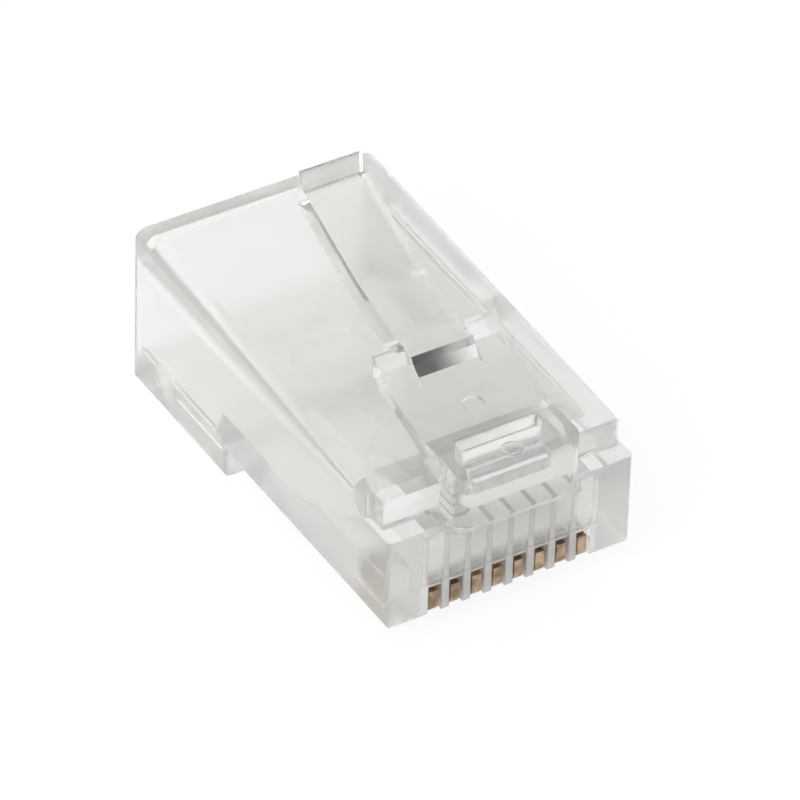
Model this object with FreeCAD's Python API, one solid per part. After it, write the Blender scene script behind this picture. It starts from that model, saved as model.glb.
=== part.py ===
"""An eight-way RJ45 modular plug, clear and not yet crimped, as separate solids in millimetres.

X runs across the plug, Y from the nose back to the cable entry, and Z up from the contact side to the latch.
The origin lies under the middle of the plug, level with the underside of the cable-end foot.
Depths are measured from the nose face towards the cable entry.
"""

import FreeCAD, Part
import math
import os

# Outer body
body_width = 11.68
body_length = 20.86
cable_end_height = 7.84
nose_end_height = 7.2
foot_drop = 1.31
foot_length = 7.86
long_edge_radius = 0.55
small_edge_radius = 0.2

# Low shoulder across the top of the nose
nose_top = 5.76
nose_ledge_depth = 0.88
ledge_corner_radius = 0.25
neck_inset = 0.24
neck_length = 1.05

# Block at the nose that the latch grows out of
root_width = 5.88
root_overhang = 0.66
root_top = 8.38
root_bottom = 5.45
root_front_radius = 0.7
root_corner_radius = 0.6
root_lip_radius = 0.3
root_flare_radius = 0.6
root_back_slope = 0.25

# Narrow slot down into the root block, and a round mould-pin mark in front of it
pocket_width = 3.88
pocket_start = 0.87
pocket_length = 0.68
pocket_depth = 1.66
pocket_corner_radius = 0.2
mark_radius = 0.44
mark_ring = 0.1
mark_height = 0.1
mark_depth = 0.15

# Latch: wide plate with two locking shoulders, and the narrow press lever behind it
hinge_depth = 2.1
hinge_low = 7.55
hinge_thickness = 0.83
plate_rise = 0.52
shoulder_depth = 6.38
shoulder_length = 1.68
shoulder_rise = 1.2
shoulder_height = 1.2
shoulder_undercut = 0.2
lever_width = 2.95
lever_step_setback = 1.18
lever_step_run = 0.5
lever_step_height = 0.76
lever_ramp_run = 1.15
lever_ramp_rise = 0.12
lever_bend_depth = 10.0
lever_bend_rise = 0.8
lever_end = 14.95
lever_end_rise = 2.0
lever_thickness = 1.15
lip_height = 0.5
lip_length = 0.55
lip_slope = 0.3
lever_tip_radius = 0.15
plate_mark_radius = 0.52
plate_mark_depth = 3.05
plate_mark_offset = -0.05
plate_mark_height = 0.05

# Contacts and their slots
contact_count = 8
contact_pitch = 1.016
slot_width = 0.64
slot_end = 3.3
bridge_thickness = 0.25
bridge_gap = 0.06
blade_thickness = 0.42
blade_side_gap = 0.1
blade_front = 0.06
blade_drop = 0.12
blade_height = 1.35
toe_height = 1.15
blade_corner_radius = 0.4
blade_shelf_length = 0.6
blade_shelf_drop = 0.22
tine_count = 3
tine_height = 0.62
crimp_travel = 0.3
crimp_clearance = 0.05

# Wire channels above the slots, between fins that slope down to the cavity
channel_width = 0.78
channel_height = 2.35
channel_wall = 0.35
fin_top_end = 2.6
channel_end = 7.0

# Cable cavity: a raised floor at the front, a low floor behind the step, and a level roof
side_wall = 0.74
cavity_floor = 1.25
cavity_top = 6.1
roof_rise_length = 0.8
floor_step_behind_foot = 0.65
floor_step_length = 0.65
cavity_edge_radius = 0.6
mouth_flare = 0.15
mouth_flare_length = 0.4

# Strain-relief flap in the foot, hinged on its cable side
window_width = 6.6
window_length = 3.9
window_to_cable_end = 2.36
flap_side_gap = 0.1
flap_front_gap = 0.2
flap_thickness = 1.1
flap_nose_rise = 0.55
flap_nose_length = 1.1

# Where the nose face stands, so that the origin is under the middle of the plug
nose_y = root_overhang - (body_length + root_overhang) / 2
past = 1.0
cavity_width = body_width - 2 * side_wall
foot_start = body_length - foot_length
plate_end = shoulder_depth - shoulder_length
window_end = body_length - window_to_cable_end
window_start = window_end - window_length


def y_at(depth):
    return nose_y + depth


def body_top_at(depth):
    slope = (cable_end_height - nose_end_height) / (body_length - nose_ledge_depth)
    return nose_end_height + slope * (depth - nose_ledge_depth)


def side_prism(outline, width, middle=0.0):
    """Carries an outline of (depth, height) points across the plug."""
    left = middle - width / 2
    corners = [FreeCAD.Vector(left, y_at(depth), height) for depth, height in outline]
    face = Part.Face(Part.makePolygon(corners + corners[:1]))
    return face.extrude(FreeCAD.Vector(width, 0, 0))


def block(width, start, end, low, high, middle=0.0):
    corner = FreeCAD.Vector(middle - width / 2, y_at(start), low)
    return Part.makeBox(width, end - start, high - low, corner)


def run_of(edge):
    return edge.Vertexes[-1].Point - edge.Vertexes[0].Point


def is_straight(edge):
    run = run_of(edge).Length
    return run > 1e-6 and abs(edge.Length - run) < 1e-6


def rounded(shape, radius, wanted):
    """Rounds the straight edges that the test picks by their middle point and direction."""
    straight = [edge for edge in shape.Edges if is_straight(edge)]
    chosen = [edge for edge in straight if wanted(edge.CenterOfMass, run_of(edge).normalize())]
    return shape.makeFillet(radius, chosen)


def near(value, target):
    return abs(value - target) < 1e-3


def ring(radius, width, height, x, depth, z):
    """A thin upright ring, for the witness marks that mould pins leave."""
    foot = FreeCAD.Vector(x, y_at(depth), z)
    outer = Part.makeCylinder(radius, height, foot)
    return outer.cut(Part.makeCylinder(radius - width, height, foot))


def contact_centres():
    first = -contact_pitch * (contact_count - 1) / 2
    return [first + contact_pitch * i for i in range(contact_count)]


def blade_bottom():
    return foot_drop - blade_drop


def toe_top():
    return blade_bottom() + toe_height


def channel_floor():
    """The channels open above the blades, clear of their shelves once these are crimped."""
    return blade_bottom() + blade_height + crimp_travel + crimp_clearance


def outer_body():
    outline = [
        (0, foot_drop),
        (0, nose_top),
        (nose_ledge_depth, nose_top),
        (nose_ledge_depth, nose_end_height),
        (body_length, cable_end_height),
        (body_length, 0),
        (foot_start, 0),
        (foot_start, foot_drop),
    ]
    body = side_prism(outline, body_width)
    half = body_width / 2
    body = rounded(
        body,
        long_edge_radius,
        lambda mid, run: near(abs(mid.x), half) and mid.z > nose_end_height and abs(run.y) > 0.9,
    )
    body = rounded(
        body,
        small_edge_radius,
        lambda mid, run: near(abs(mid.x), half) and mid.z < nose_top - past,
    )
    return body.cut(beside_neck(-1)).cut(beside_neck(1))


def beside_neck(side):
    """What one side of the body lacks just behind the nose ledge, where it is a little narrower."""
    inner = body_width / 2 - neck_inset
    width = neck_inset + past
    end = nose_ledge_depth + neck_length
    shape = block(width, 0, end, nose_top, nose_end_height + past, side * (inner + width / 2))
    return rounded(
        shape,
        ledge_corner_radius,
        lambda mid, run: near(abs(mid.x), inner) and near(mid.y, y_at(end)),
    )


def root_block():
    """The block stands proud of the nose and flares into it along its lower edge."""
    back_foot = body_top_at(hinge_depth) - past
    outline = [
        (-root_overhang, root_bottom),
        (-root_overhang, root_top),
        (hinge_depth, hinge_low + hinge_thickness),
        (hinge_depth, hinge_low),
        (hinge_depth + root_back_slope, back_foot),
        (past, root_bottom),
    ]
    shape = side_prism(outline, root_width)
    front = y_at(-root_overhang)
    shape = rounded(
        shape,
        root_front_radius,
        lambda mid, run: near(mid.y, front) and near(mid.z, root_top),
    )
    shape = rounded(
        shape,
        root_lip_radius,
        lambda mid, run: near(mid.y, front) and near(mid.z, root_bottom),
    )
    plan = rounded(
        block(root_width, -root_overhang, hinge_depth + past, root_bottom - past, root_top + past),
        root_corner_radius,
        lambda mid, run: near(mid.y, front) and near(abs(run.z), 1),
    )
    return shape.common(plan).fuse(root_flare())


def root_flare():
    """A lip under the block whose ends curve into the nose face."""
    half = root_width / 2
    radius = root_flare_radius
    lip = block(root_width + 2 * radius, -radius, past, root_bottom, nose_top)
    for side in (-1, 1):
        corner = FreeCAD.Vector(side * (half + radius), y_at(-radius), root_bottom)
        lip = lip.cut(Part.makeCylinder(radius, nose_top - root_bottom, corner))
    return lip


def root_pocket():
    floor = root_top - pocket_depth
    pocket_end = pocket_start + pocket_length
    pocket = block(pocket_width, pocket_start, pocket_end, floor, root_top + past)
    return rounded(pocket, pocket_corner_radius, lambda mid, run: near(abs(run.z), 1))


def cable_cavity():
    raised_floor = channel_floor()
    step_foot = foot_start + floor_step_behind_foot + floor_step_length
    outline = [
        (channel_end, raised_floor),
        (fin_top_end, raised_floor + channel_height),
        (fin_top_end + roof_rise_length, cavity_top),
        (body_length + past, cavity_top),
        (body_length + past, cavity_floor),
        (step_foot, cavity_floor),
        (step_foot - floor_step_length, raised_floor),
    ]
    half = cavity_width / 2
    cavity = rounded(
        side_prism(outline, cavity_width),
        cavity_edge_radius,
        lambda mid, run: near(abs(mid.x), half) and near(abs(run.y), 1) and not near(mid.z, raised_floor),
    )
    return cavity.fuse(cavity_mouth())


def cavity_mouth():
    """The mouth widens a little at the cable entry so that a jacket finds its way in."""

    def section(depth, grow):
        low = cavity_floor - grow
        high = cavity_top + grow
        half = cavity_width / 2 + grow
        corners = [
            FreeCAD.Vector(-half, y_at(depth), low),
            FreeCAD.Vector(half, y_at(depth), low),
            FreeCAD.Vector(half, y_at(depth), high),
            FreeCAD.Vector(-half, y_at(depth), high),
        ]
        return Part.makePolygon(corners + corners[:1])

    inner = section(body_length - mouth_flare_length, 0)
    outer = section(body_length, mouth_flare)
    flare = Part.makeLoft([inner, outer], True, True)
    beyond = past * mouth_flare / mouth_flare_length
    far = section(body_length + past, mouth_flare + beyond)
    return flare.fuse(Part.makeLoft([outer, far], True, True))


def wire_channel(x):
    floor = channel_floor()
    return block(channel_width, channel_wall, channel_end, floor, floor + channel_height, x)


def blade_slot(x):
    """Open below, open at the nose under a thin bridge, and open above into its wire channel."""
    low = foot_drop - past
    bridge_bottom = toe_top() + crimp_travel + crimp_clearance
    front = block(slot_width, -past, slot_end, low, bridge_bottom, x)
    behind_bridge = block(slot_width, bridge_thickness, slot_end, low, channel_floor(), x)
    into_channel = block(slot_width, channel_wall, slot_end, low, channel_floor() + past, x)
    return front.fuse(behind_bridge).fuse(into_channel)


def flap_window():
    return block(window_width, window_start, window_end, -past, cavity_floor + past)


def housing():
    shape = outer_body().fuse(root_block())
    shape = shape.cut(root_pocket())
    shape = shape.cut(cable_cavity())
    for x in contact_centres():
        shape = shape.cut(wire_channel(x))
        shape = shape.cut(blade_slot(x))
    shape = shape.cut(flap_window())
    mark = ring(mark_radius, mark_ring, past, 0, mark_depth, root_top - mark_height)
    return shape.cut(mark).removeSplitter()


def plate_top_at(depth):
    start = hinge_low + hinge_thickness
    return start + plate_rise * (depth - hinge_depth) / (plate_end - hinge_depth)


def latch_plate():
    """The wide part, with a shoulder at each side that locks behind the jack's lip."""
    shoulder_top = plate_top_at(plate_end) + shoulder_rise
    shoulder_low = shoulder_top - shoulder_height
    outline = [
        (hinge_depth, hinge_low),
        (shoulder_depth - shoulder_undercut, shoulder_low),
        (shoulder_depth, shoulder_top),
        (plate_end, plate_top_at(plate_end)),
        (hinge_depth, hinge_low + hinge_thickness),
    ]
    plate = side_prism(outline, root_width)
    above = [
        (plate_end, plate_top_at(plate_end)),
        (shoulder_depth + past, plate_top_at(shoulder_depth + past)),
        (shoulder_depth + past, shoulder_top + past),
        (plate_end, shoulder_top + past),
    ]
    return plate.cut(side_prism(above, lever_width))


def latch_lever():
    """The narrow part that a finger presses, stepped up from the plate and lipped at its end."""
    lever_step_depth = shoulder_depth - lever_step_setback
    step_foot = plate_top_at(lever_step_depth)
    ramp_depth = lever_step_depth + lever_step_run
    ramp_top = step_foot + lever_step_height
    ramp_end = ramp_depth + lever_ramp_run
    start_top = ramp_top + lever_ramp_rise
    bend_top = start_top + lever_bend_rise
    end_top = bend_top + lever_end_rise
    shoulder_low = plate_top_at(plate_end) + shoulder_rise - shoulder_height
    outline = [
        (lever_step_depth, step_foot - shoulder_undercut),
        (lever_step_depth, step_foot),
        (ramp_depth, ramp_top),
        (ramp_end, start_top),
        (lever_bend_depth, bend_top),
        (lever_end - lip_length, lever_top_at(lever_end - lip_length, bend_top, end_top)),
        (lever_end - lip_length + lip_slope, end_top + lip_height),
        (lever_end, end_top + lip_height),
        (lever_end, end_top - lever_thickness),
        (lever_bend_depth, bend_top - lever_thickness),
        (ramp_end + past, start_top - lever_thickness + lever_bend_rise / 4),
        (shoulder_depth - shoulder_undercut, shoulder_low),
    ]
    lever = side_prism(outline, lever_width)
    end = y_at(lever_end)
    return rounded(lever, lever_tip_radius, lambda mid, run: near(mid.y, end))


def lever_top_at(depth, bend_top, end_top):
    share = (depth - lever_bend_depth) / (lever_end - lever_bend_depth)
    return bend_top + share * (end_top - bend_top)


def latch():
    shape = latch_plate().fuse(latch_lever()).removeSplitter()
    mark_z = plate_top_at(plate_mark_depth) - plate_mark_height
    mark = ring(
        plate_mark_radius, mark_ring, 2 * plate_mark_height, plate_mark_offset, plate_mark_depth, mark_z
    )
    return shape.cut(mark)


def contact(x):
    """A flat blade with a toe under the bridge, rounded lower corners and tines along its upper edge."""
    low = blade_bottom()
    behind_bridge = bridge_thickness + bridge_gap
    shelf = low + blade_height
    root = shelf - blade_shelf_drop
    back = slot_end - blade_side_gap
    shelf_end = blade_front + blade_shelf_length
    radius = blade_corner_radius
    pitch = (back - shelf_end) / tine_count

    def at(depth, height):
        return FreeCAD.Vector(x - blade_thickness / 2, y_at(depth), height)

    bend = radius * (1 - math.sqrt(0.5))
    upper = [at(blade_front, low + radius), at(blade_front, toe_top()), at(behind_bridge, toe_top())]
    upper += [at(behind_bridge, shelf), at(shelf_end, shelf)]
    for i in range(tine_count):
        upper.append(at(shelf_end + pitch * i, root))
        upper.append(at(shelf_end + pitch * (i + 0.5), root + tine_height))
    upper.append(at(back, root))
    upper.append(at(back, low + radius))
    edges = [Part.LineSegment(a, b).toShape() for a, b in zip(upper, upper[1:])]
    back_bend = at(back - bend, low + bend)
    edges.append(Part.Arc(upper[-1], back_bend, at(back - radius, low)).toShape())
    edges.append(Part.LineSegment(at(back - radius, low), at(blade_front + radius, low)).toShape())
    front_bend = at(blade_front + bend, low + bend)
    edges.append(Part.Arc(at(blade_front + radius, low), front_bend, upper[0]).toShape())
    face = Part.Face(Part.Wire(edges))
    return face.extrude(FreeCAD.Vector(blade_thickness, 0, 0))


def strain_relief_flap():
    """A bar that the crimp pushes up into the jacket, turning on its cable-side edge."""
    start = window_start + flap_front_gap
    outline = [
        (start, 0),
        (start, flap_thickness + flap_nose_rise),
        (start + flap_nose_length, flap_thickness),
        (window_end, flap_thickness),
        (window_end, 0),
    ]
    return side_prism(outline, window_width - 2 * flap_side_gap)


def main():
    os.makedirs("parts", exist_ok=True)
    parts = {
        "housing": housing(),
        "latch": latch(),
        "strain_relief_flap": strain_relief_flap(),
    }
    for number, x in enumerate(contact_centres(), start=1):
        parts[f"contact_{number}"] = contact(x)
    for name, shape in parts.items():
        shape.exportStep(f"parts/{name}.step")
        print(name, len(shape.Solids), shape.isValid(), round(shape.Volume, 2))


main()
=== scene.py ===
"""Looks of a clear eight-way RJ45 modular plug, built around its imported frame.

Sizes are written in millimetres where they aren't said to be metres, and MM turns them into metres.
Depths are measured from the nose face towards the cable entry, as on the solids.
"""

import math

import bmesh
import bpy
from mathutils import Matrix, Vector


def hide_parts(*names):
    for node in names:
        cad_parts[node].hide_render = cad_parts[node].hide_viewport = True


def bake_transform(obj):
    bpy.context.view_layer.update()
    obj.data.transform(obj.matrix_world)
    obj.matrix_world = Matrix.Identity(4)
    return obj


MM = 0.001

# Sizes that repeat the solids
ROOT_OVERHANG = 0.66
BODY_WIDTH = 11.68
BODY_LENGTH = 20.86
FOOT_DROP = 1.31
NOSE_TOP = 5.76
LEDGE_DEPTH = 0.88
HINGE_DEPTH = 2.1
HINGE_LOW = 7.55
CONTACT_COUNT = 8
CONTACT_PITCH = 1.016
FLAP_HINGE_DEPTH = 18.5
FLAP_THICKNESS = 1.1

NOSE_Y = ROOT_OVERHANG - (BODY_LENGTH + ROOT_OVERHANG) / 2
CONTACT_XS = [CONTACT_PITCH * (i - (CONTACT_COUNT - 1) / 2) for i in range(CONTACT_COUNT)]
RIB_XS = [CONTACT_PITCH * (i - CONTACT_COUNT / 2) for i in range(CONTACT_COUNT + 1)]

# What picks out faces: the inside lies this far in from the outside and below this height, and the
# lever's step lies between these depths and faces this much towards the nose and up
OUTER_SKIN = 0.1
INSIDE_TOP = 6.2
LEVER_STEP_START = 5.1
LEVER_STEP_END = 5.8
STEP_FACES_NOSE = 0.7
STEP_FACES_UP = 0.3

# A face lies square across the plug if its normal is this far along it, and its centre this near in metres
SQUARE_ACROSS = 0.99
SAME_PLACE = 1e-6

# How far from its root each moulded-in piece still bends, and into how many steps that is cut
LATCH_FLEX = 2.3
LATCH_FLEX_STEPS = 8
FLAP_FLEX = 1.2
FLAP_FLEX_STEPS = 6

# Meshes that bend: corners this near in metres are one, and edges sharper than this many degrees stay crisp
WELD = 1e-7
SHARP_EDGE = 25

# Clear plastic
CLEAR_TINT = (1.0, 0.998, 0.988, 1.0)
CLEAR_IOR = 1.586

# Painted highlights, where thicker white haze lightens the clear plastic: centre (x, depth, z), half sizes
# and soft edges, then the share of haze there. They are in front of the slots, on the ribs between the
# blades, on the same ribs higher up, and low on the left wall
SLOT_PAINTED_HIGHLIGHTS = [((x, 0.1, 4.4), (0.4, 0.3, 1.0), (0.06, 0.1, 0.3), 0.65) for x in CONTACT_XS]
LOW_RIB_PAINTED_HIGHLIGHTS = [((x, 0.1, 2.1), (0.16, 0.3, 0.8), (0.04, 0.1, 0.1), 0.5) for x in RIB_XS]
HIGH_RIB_PAINTED_HIGHLIGHTS = [((x, 0.1, 4.05), (0.14, 0.3, 1.25), (0.04, 0.1, 0.25), 0.5) for x in RIB_XS]
WALL_PAINTED_HIGHLIGHT = ((-BODY_WIDTH / 2, 18.1, 1.6), (0.2, 0.5, 0.7), (0.1, 0.5, 0.6), 0.8)
PAINTED_HIGHLIGHT_PATCHES = [*SLOT_PAINTED_HIGHLIGHTS, *LOW_RIB_PAINTED_HIGHLIGHTS, *HIGH_RIB_PAINTED_HIGHLIGHTS, WALL_PAINTED_HIGHLIGHT]

# The lever's step mirrors light: between which two places across the plug that fades, and from how
# much to how much
STEP_FADE = (-0.6, 1.2)
STEP_MIRROR = (0.9, 0.1)

# Uneven surfaces: noise scale per metre, bump strength and bump height in metres
MOULDED_BUMP = (260.0, 0.25, 0.00006)
STEP_BUMP = (420.0, 0.5, 0.00012)
PLATED_BUMP = (1800.0, 0.3, 0.00002)

# Gold plating, from its brown to its bright places, and the noise levels that these begin at
GOLD_BROWN = (0.24, 0.17, 0.11, 1.0)
GOLD_BRIGHT = (0.52, 0.39, 0.27, 1.0)
GOLD_LEVELS = (0.35, 0.65)

# Room: the light of its walls and of its ceiling, and the heights on the unit sphere between which one
# becomes the other
WALL_LIGHT = 1.0
CEILING_LIGHT = 0.85
CEILING_HEIGHTS = (0.1, 0.8)
ROOM_TINT = (1.0, 0.995, 0.98, 1.0)

# Dark cards, overhead and low in front: direction, half angle in degrees, and the share of light left.
# Their edges are this soft, in degrees to each side
DARK_CARDS = (((0.0, 0.0, 1.0), 28.0, 0.25), ((0.36, -0.86, 0.35), 20.0, 0.08))
CARD_EDGE = 4

# Softbox: where it stands and how wide it is, in metres, and its power in watts
SOFTBOX_PLACE = (-0.42, -0.35, 0.6)
SOFTBOX_WIDTH = 0.6
SOFTBOX_POWER = 5.5

# Floor: half its width and its gap under the plug in metres, its grey, and how white it looks
FLOOR_HALF = 1.5
FLOOR_GAP = 0.00002
FLOOR_GREY = (0.86, 0.86, 0.86, 1.0)
FLOOR_WHITE_SHARE = 0.9

# Camera, as fitted to the photograph: a turn vector in radians, then a shift in millimetres
CAMERA_TURN = (2.18619601, -0.593141634, 0.320231623)
CAMERA_SHIFT = (4.39620969, 8.53903046, 297.809533)
FOCAL_PIXELS = 7262.897
IMAGE_PIXELS = 800
SENSOR = 36.0

# Light has to cross every wall of the plug and come out again
BOUNCES = 32
GLOSSY_BOUNCES = 12


def at(x, depth, z):
    """A point given in millimetres, its depth counted from the nose face."""
    return Vector((x * MM, (NOSE_Y + depth) * MM, z * MM))


def new_material(name):
    material = bpy.data.materials.new(name)
    material.use_nodes = True
    material.node_tree.nodes.clear()
    return material, material.node_tree.nodes, material.node_tree.links


def set_surface(nodes, links, shader):
    """Makes a shader the surface of its material."""
    out = nodes.new("ShaderNodeOutputMaterial")
    links.new(shader, out.inputs["Surface"])


def mixed(nodes, links, share, first, second):
    """Two shaders mixed. The second's share is one number, or an output that varies over the surface."""
    mix = nodes.new("ShaderNodeMixShader")
    if isinstance(share, float):
        mix.inputs["Fac"].default_value = share
    else:
        links.new(share, mix.inputs["Fac"])
    links.new(first, mix.inputs[1])
    links.new(second, mix.inputs[2])
    return mix.outputs["Shader"]


def object_noise(nodes, links, scale):
    """Noise laid out in the object's own space."""
    place = nodes.new("ShaderNodeTexCoord")
    noise = nodes.new("ShaderNodeTexNoise")
    noise.inputs["Scale"].default_value = scale
    links.new(place.outputs["Object"], noise.inputs["Vector"])
    return noise.outputs["Fac"]


def bumped(nodes, links, height, strength, distance):
    """The surface's normal, made uneven by a height."""
    bump = nodes.new("ShaderNodeBump")
    bump.inputs["Strength"].default_value = strength
    bump.inputs["Distance"].default_value = distance
    links.new(height, bump.inputs["Height"])
    return bump.outputs["Normal"]


def fade_along(nodes, links, source, span, levels):
    """A value that runs from one level to the other while the source crosses the span."""
    fade = nodes.new("ShaderNodeMapRange")
    fade.inputs["From Min"].default_value, fade.inputs["From Max"].default_value = span
    fade.inputs["To Min"].default_value, fade.inputs["To Max"].default_value = levels
    links.new(source, fade.inputs["Value"])
    return fade.outputs["Result"]


def combined(nodes, links, operation, first, second):
    """Two values joined by one step of arithmetic."""
    step = nodes.new("ShaderNodeMath")
    step.operation = operation
    links.new(first, step.inputs[0])
    links.new(second, step.inputs[1])
    return step.outputs[0]


def painted_highlight_mask(nodes, links, centre, half, soft):
    """One inside a box with soft edges, nothing outside it: the mask of one painted highlight."""
    place = nodes.new("ShaderNodeTexCoord")
    offset = nodes.new("ShaderNodeVectorMath")
    offset.operation = "SUBTRACT"
    offset.inputs[1].default_value = at(*centre)
    size = nodes.new("ShaderNodeVectorMath")
    size.operation = "ABSOLUTE"
    axes = nodes.new("ShaderNodeSeparateXYZ")
    links.new(place.outputs["Object"], offset.inputs[0])
    links.new(offset.outputs["Vector"], size.inputs[0])
    links.new(size.outputs["Vector"], axes.inputs["Vector"])
    mask = None
    for axis, reach, edge in zip("XYZ", half, soft):
        span = ((reach - edge) * MM, (reach + edge) * MM)
        inside = fade_along(nodes, links, axes.outputs[axis], span, (1.0, 0.0))
        mask = inside if mask is None else combined(nodes, links, "MULTIPLY", mask, inside)
    return mask


def haze_with_painted_highlights(nodes, links, haze, highlight_patches):
    """The share of haze: an even one, and more of it inside each patch, where it paints in a highlight."""
    total = None
    for centre, half, soft, highlight_haze in highlight_patches:
        mask = painted_highlight_mask(nodes, links, centre, half, soft)
        share = fade_along(nodes, links, mask, (0.0, 1.0), (haze, highlight_haze))
        total = share if total is None else combined(nodes, links, "MAXIMUM", total, share)
    return total


def white_haze_and_painted_highlight(nodes, links):
    """Haze in the plastic, which sends half of its light back and lets the other half through. Thickened in
    patches, it is a painted highlight.
    """
    back = nodes.new("ShaderNodeBsdfDiffuse")
    back.inputs["Color"].default_value = (0.95, 0.95, 0.935, 1.0)
    through = nodes.new("ShaderNodeBsdfTranslucent")
    through.inputs["Color"].default_value = (1.0, 1.0, 0.985, 1.0)
    return mixed(nodes, links, 0.5, back.outputs["BSDF"], through.outputs["BSDF"])


def clear_plastic(name, roughness, haze, highlight_patches=()):
    """Moulded polycarbonate: clear and slightly uneven, with a little haze that softens what is behind, and
    thicker haze in any given patches, which paints in highlights.
    """
    material, nodes, links = new_material(name)
    shader = nodes.new("ShaderNodeBsdfPrincipled")
    shader.inputs["Base Color"].default_value = CLEAR_TINT
    shader.inputs["Transmission Weight"].default_value = 1.0
    shader.inputs["Roughness"].default_value = roughness
    shader.inputs["IOR"].default_value = CLEAR_IOR
    scale, strength, distance = MOULDED_BUMP
    noise = object_noise(nodes, links, scale)
    links.new(bumped(nodes, links, noise, strength, distance), shader.inputs["Normal"])
    # Thicker white haze in the given patches lightens the plastic there: painted highlights
    share = haze_with_painted_highlights(nodes, links, haze, highlight_patches) if highlight_patches else haze
    hazy_with_highlights = mixed(nodes, links, share, shader.outputs["BSDF"], white_haze_and_painted_highlight(nodes, links))
    set_surface(nodes, links, hazy_with_highlights)
    return material


def mirror_step_material():
    """The lever's steep step, which turns light back as a mirror does, less so towards its right end."""
    material, nodes, links = new_material("clear_polycarbonate_turning_light_back")
    glass = nodes.new("ShaderNodeBsdfGlass")
    glass.inputs["IOR"].default_value = CLEAR_IOR
    glass.inputs["Roughness"].default_value = 0.05
    mirror = nodes.new("ShaderNodeBsdfGlossy")
    mirror.inputs["Color"].default_value = (0.95, 0.94, 0.91, 1.0)
    mirror.inputs["Roughness"].default_value = 0.12
    scale, strength, distance = STEP_BUMP
    noise = object_noise(nodes, links, scale)
    links.new(bumped(nodes, links, noise, strength, distance), mirror.inputs["Normal"])
    place = nodes.new("ShaderNodeTexCoord")
    sides = nodes.new("ShaderNodeSeparateXYZ")
    links.new(place.outputs["Object"], sides.inputs["Vector"])
    left, right = STEP_FADE
    share = fade_along(nodes, links, sides.outputs["X"], (left * MM, right * MM), STEP_MIRROR)
    set_surface(nodes, links, mixed(nodes, links, share, glass.outputs["BSDF"], mirror.outputs["BSDF"]))
    return material


def seam_material():
    """The hidden faces where two mouldings are really one: light passes straight through."""
    material, nodes, links = new_material("moulded_in_one")
    shader = nodes.new("ShaderNodeBsdfTransparent")
    set_surface(nodes, links, shader.outputs["BSDF"])
    return material


def gold_material():
    """Thin gold plating on bronze: brownish and a little uneven."""
    material, nodes, links = new_material("gold_plating")
    shader = nodes.new("ShaderNodeBsdfPrincipled")
    shader.inputs["Metallic"].default_value = 1.0
    shader.inputs["Roughness"].default_value = 0.3
    scale, strength, distance = PLATED_BUMP
    noise = object_noise(nodes, links, scale)
    ramp = nodes.new("ShaderNodeValToRGB")
    for stop, level, color in zip(ramp.color_ramp.elements, GOLD_LEVELS, (GOLD_BROWN, GOLD_BRIGHT)):
        stop.position = level
        stop.color = color
    links.new(noise, ramp.inputs["Fac"])
    links.new(ramp.outputs["Color"], shader.inputs["Base Color"])
    links.new(bumped(nodes, links, noise, strength, distance), shader.inputs["Normal"])
    set_surface(nodes, links, shader.outputs["BSDF"])
    return material


def white_ray_share(nodes, links, share):
    """The share of white, for camera, glossy and transmission rays only."""
    path = nodes.new("ShaderNodeLightPath")
    seen = combined(nodes, links, "MAXIMUM", path.outputs["Is Camera Ray"], path.outputs["Is Glossy Ray"])
    seen = combined(nodes, links, "MAXIMUM", seen, path.outputs["Is Transmission Ray"])
    return fade_along(nodes, links, seen, (0.0, 1.0), (0.0, share))


def floor_material():
    """White to the camera and through the plastic, while the shadow of the plug stays."""
    material, nodes, links = new_material("pale_floor")
    diffuse = nodes.new("ShaderNodeBsdfDiffuse")
    diffuse.inputs["Color"].default_value = FLOOR_GREY
    glow = nodes.new("ShaderNodeEmission")
    share = white_ray_share(nodes, links, FLOOR_WHITE_SHARE)
    set_surface(nodes, links, mixed(nodes, links, share, diffuse.outputs["BSDF"], glow.outputs["Emission"]))
    return material


def paint(obj, material):
    """Gives a piece one material all over."""
    obj.data.materials.clear()
    obj.data.materials.append(material)


def paint_faces(obj, material, wanted):
    """Gives the faces that the test picks a material of their own."""
    obj.data.materials.append(material)
    slot = len(obj.data.materials) - 1
    for face in obj.data.polygons:
        if wanted(face):
            face.material_index = slot


def flexing_copy(source, name, cuts):
    """A copy of a node's mesh, cut across its bending zone so that it can flex."""
    mesh = source.data.copy()
    piece = bpy.data.objects.new(name, mesh)
    bpy.context.scene.collection.objects.link(piece)
    work = bmesh.new()
    work.from_mesh(mesh)
    bmesh.ops.remove_doubles(work, verts=work.verts, dist=WELD)
    for depth in cuts:
        geometry = work.verts[:] + work.edges[:] + work.faces[:]
        bmesh.ops.bisect_plane(work, geom=geometry, plane_co=at(0, depth, 0), plane_no=(0, 1, 0))
    work.to_mesh(mesh)
    work.free()
    # The copied normals belong to the uncut mesh, so they are made anew, and flat faces stay flat
    curved = [face.use_smooth for face in mesh.polygons]
    mesh.attributes.remove(mesh.attributes["custom_normal"])
    mesh.set_sharp_from_angle(angle=math.radians(SHARP_EDGE))
    mesh.polygons.foreach_set("use_smooth", curved)
    return piece


def is_across(face, depth):
    """True for a face that lies square across the plug at that depth."""
    y = at(0, depth, 0).y
    return abs(face.center.y - y) < SAME_PLACE and abs(face.normal.y) > SQUARE_ACROSS


def is_inside(face):
    """True for the faces that the mould's cores leave: the cavity, the channels and the slots."""
    skin = OUTER_SKIN * MM
    x, y, z = face.center
    between_sides = abs(x) < BODY_WIDTH / 2 * MM - skin
    between_ends = at(0, 0, 0).y + skin < y < at(0, BODY_LENGTH, 0).y - skin
    at_height = FOOT_DROP * MM + skin < z < INSIDE_TOP * MM
    on_ledge = y < at(0, LEDGE_DEPTH, 0).y + skin and z > NOSE_TOP * MM - skin
    return between_sides and between_ends and at_height and not on_ledge


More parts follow.
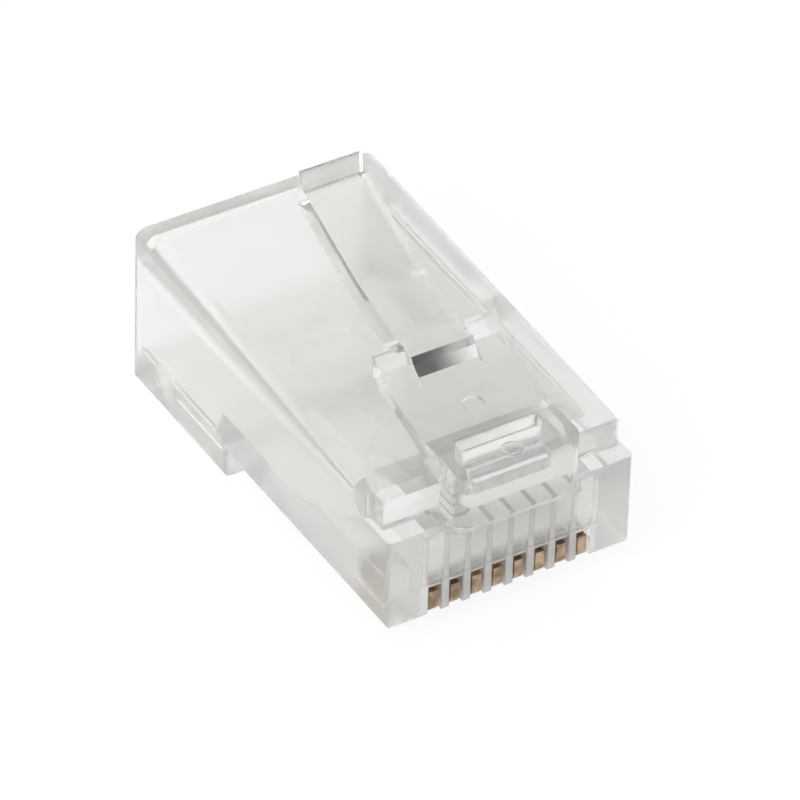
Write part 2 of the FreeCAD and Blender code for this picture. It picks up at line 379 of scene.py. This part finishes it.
def is_moulded_root(face):
    """True for the housing's faces that the latch and the strain-relief flap grow out of."""
    of_latch = is_across(face, HINGE_DEPTH) and face.center.z > HINGE_LOW * MM
    of_flap = is_across(face, FLAP_HINGE_DEPTH) and face.center.z < FLAP_THICKNESS * MM
    return of_latch or of_flap


def is_lever_step(face):
    """True for the steep face between the latch's plate and its lever."""
    steep = face.normal.y < -STEP_FACES_NOSE and face.normal.z > STEP_FACES_UP
    return steep and at(0, LEVER_STEP_START, 0).y < face.center.y < at(0, LEVER_STEP_END, 0).y


def dress_housing(housing, clear, frosted, seam):
    paint(housing, clear)
    paint_faces(housing, frosted, is_inside)
    paint_faces(housing, seam, is_moulded_root)


def make_latch(source, sprung, seam, step_mirror):
    """The latch, which bends out of the housing's root block."""
    cuts = [HINGE_DEPTH + LATCH_FLEX * i / LATCH_FLEX_STEPS for i in range(1, LATCH_FLEX_STEPS + 1)]
    latch = flexing_copy(source, "clear_latch", cuts)
    paint(latch, sprung)
    paint_faces(latch, seam, lambda face: is_across(face, HINGE_DEPTH))
    paint_faces(latch, step_mirror, is_lever_step)
    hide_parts("latch")
    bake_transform(latch)


def make_flap(source, clear, seam):
    """The strain-relief flap, which bends at its edge towards the cable entry."""
    cuts = [FLAP_HINGE_DEPTH - FLAP_FLEX * i / FLAP_FLEX_STEPS for i in range(1, FLAP_FLEX_STEPS + 1)]
    flap = flexing_copy(source, "clear_flap", cuts)
    paint(flap, clear)
    paint_faces(flap, seam, lambda face: is_across(face, FLAP_HINGE_DEPTH))
    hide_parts("strain_relief_flap")
    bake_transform(flap)


def make_camera():
    turn = Vector(CAMERA_TURN)
    rotation = Matrix.Rotation(turn.length, 3, turn.normalized())
    place = -(rotation.transposed() @ Vector(CAMERA_SHIFT))
    right, down, ahead = rotation
    camera = bpy.data.cameras.new("camera")
    camera.sensor_width = SENSOR
    camera.lens = FOCAL_PIXELS / IMAGE_PIXELS * SENSOR
    camera.clip_start = 0.01
    camera.clip_end = 20.0
    obj = bpy.data.objects.new("camera", camera)
    bpy.context.scene.collection.objects.link(obj)
    axes = Matrix((right, -down, -ahead)).transposed()
    obj.matrix_world = Matrix.Translation(at(*place)) @ axes.to_4x4()
    bpy.context.scene.camera = obj


def make_floor():
    mesh = bpy.data.meshes.new("floor")
    half = FLOOR_HALF
    corners = [(-half, -half, 0), (half, -half, 0), (half, half, 0), (-half, half, 0)]
    mesh.from_pydata(corners, [], [(0, 1, 2, 3)])
    floor = bpy.data.objects.new("floor", mesh)
    bpy.context.scene.collection.objects.link(floor)
    floor.location.z = -FLOOR_GAP
    paint(floor, floor_material())


def make_room():
    """Light walls, a dimmer ceiling, and the dark cards that give the clear plastic its edges."""
    world = bpy.data.worlds.new("studio")
    bpy.context.scene.world = world
    world.use_nodes = True
    nodes, links = world.node_tree.nodes, world.node_tree.links
    place = nodes.new("ShaderNodeTexCoord")
    parts = nodes.new("ShaderNodeSeparateXYZ")
    links.new(place.outputs["Generated"], parts.inputs["Vector"])
    strength = fade_along(nodes, links, parts.outputs["Z"], CEILING_HEIGHTS, (WALL_LIGHT, CEILING_LIGHT))
    for direction, spread, level in DARK_CARDS:
        facing = nodes.new("ShaderNodeVectorMath")
        facing.operation = "DOT_PRODUCT"
        facing.inputs[1].default_value = Vector(direction).normalized()
        links.new(place.outputs["Generated"], facing.inputs[0])
        span = [math.cos(math.radians(spread + edge)) for edge in (CARD_EDGE, -CARD_EDGE)]
        card = fade_along(nodes, links, facing.outputs["Value"], span, (1.0, level))
        strength = combined(nodes, links, "MULTIPLY", strength, card)
    nodes["Background"].inputs["Color"].default_value = ROOM_TINT
    links.new(strength, nodes["Background"].inputs["Strength"])


def make_softbox():
    """The one lamp, a square one that looks at the origin."""
    light = bpy.data.lights.new("softbox", "AREA")
    light.shape = "SQUARE"
    light.size = SOFTBOX_WIDTH
    light.energy = SOFTBOX_POWER
    obj = bpy.data.objects.new("softbox", light)
    bpy.context.scene.collection.objects.link(obj)
    obj.location = SOFTBOX_PLACE
    obj.rotation_mode = "QUATERNION"
    obj.rotation_quaternion = (-Vector(SOFTBOX_PLACE)).to_track_quat("-Z", "Y")


def set_rendering():
    scene = bpy.context.scene
    scene.view_settings.view_transform = "Standard"
    scene.cycles.max_bounces = BOUNCES
    scene.cycles.transmission_bounces = BOUNCES
    scene.cycles.transparent_max_bounces = BOUNCES
    scene.cycles.glossy_bounces = GLOSSY_BOUNCES


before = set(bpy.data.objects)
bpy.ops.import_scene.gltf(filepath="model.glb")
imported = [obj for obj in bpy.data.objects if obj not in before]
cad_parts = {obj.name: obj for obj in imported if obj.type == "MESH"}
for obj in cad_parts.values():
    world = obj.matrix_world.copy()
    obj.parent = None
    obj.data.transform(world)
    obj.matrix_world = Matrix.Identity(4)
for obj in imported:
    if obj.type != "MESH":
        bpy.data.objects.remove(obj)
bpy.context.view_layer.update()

make_camera()

# The patches of thicker white haze on the housing are painted highlights; the even haze is the plastic's
# own
clear = clear_plastic("clear_polycarbonate", roughness=0.08, haze=0.16, highlight_patches=PAINTED_HIGHLIGHT_PATCHES)
frosted = clear_plastic("clear_polycarbonate_off_the_core", roughness=0.2, haze=0.26)
sprung = clear_plastic("clear_polycarbonate_of_the_latch", roughness=0.04, haze=0.06)
step_mirror = mirror_step_material()
seam = seam_material()
gold = gold_material()

dress_housing(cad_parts["housing"], clear, frosted, seam)
for number in range(1, CONTACT_COUNT + 1):
    paint(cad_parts[f"contact_{number}"], gold)
make_latch(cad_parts["latch"], sprung, seam, step_mirror)
make_flap(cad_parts["strain_relief_flap"], clear, seam)

make_floor()
make_room()
make_softbox()
set_rendering()
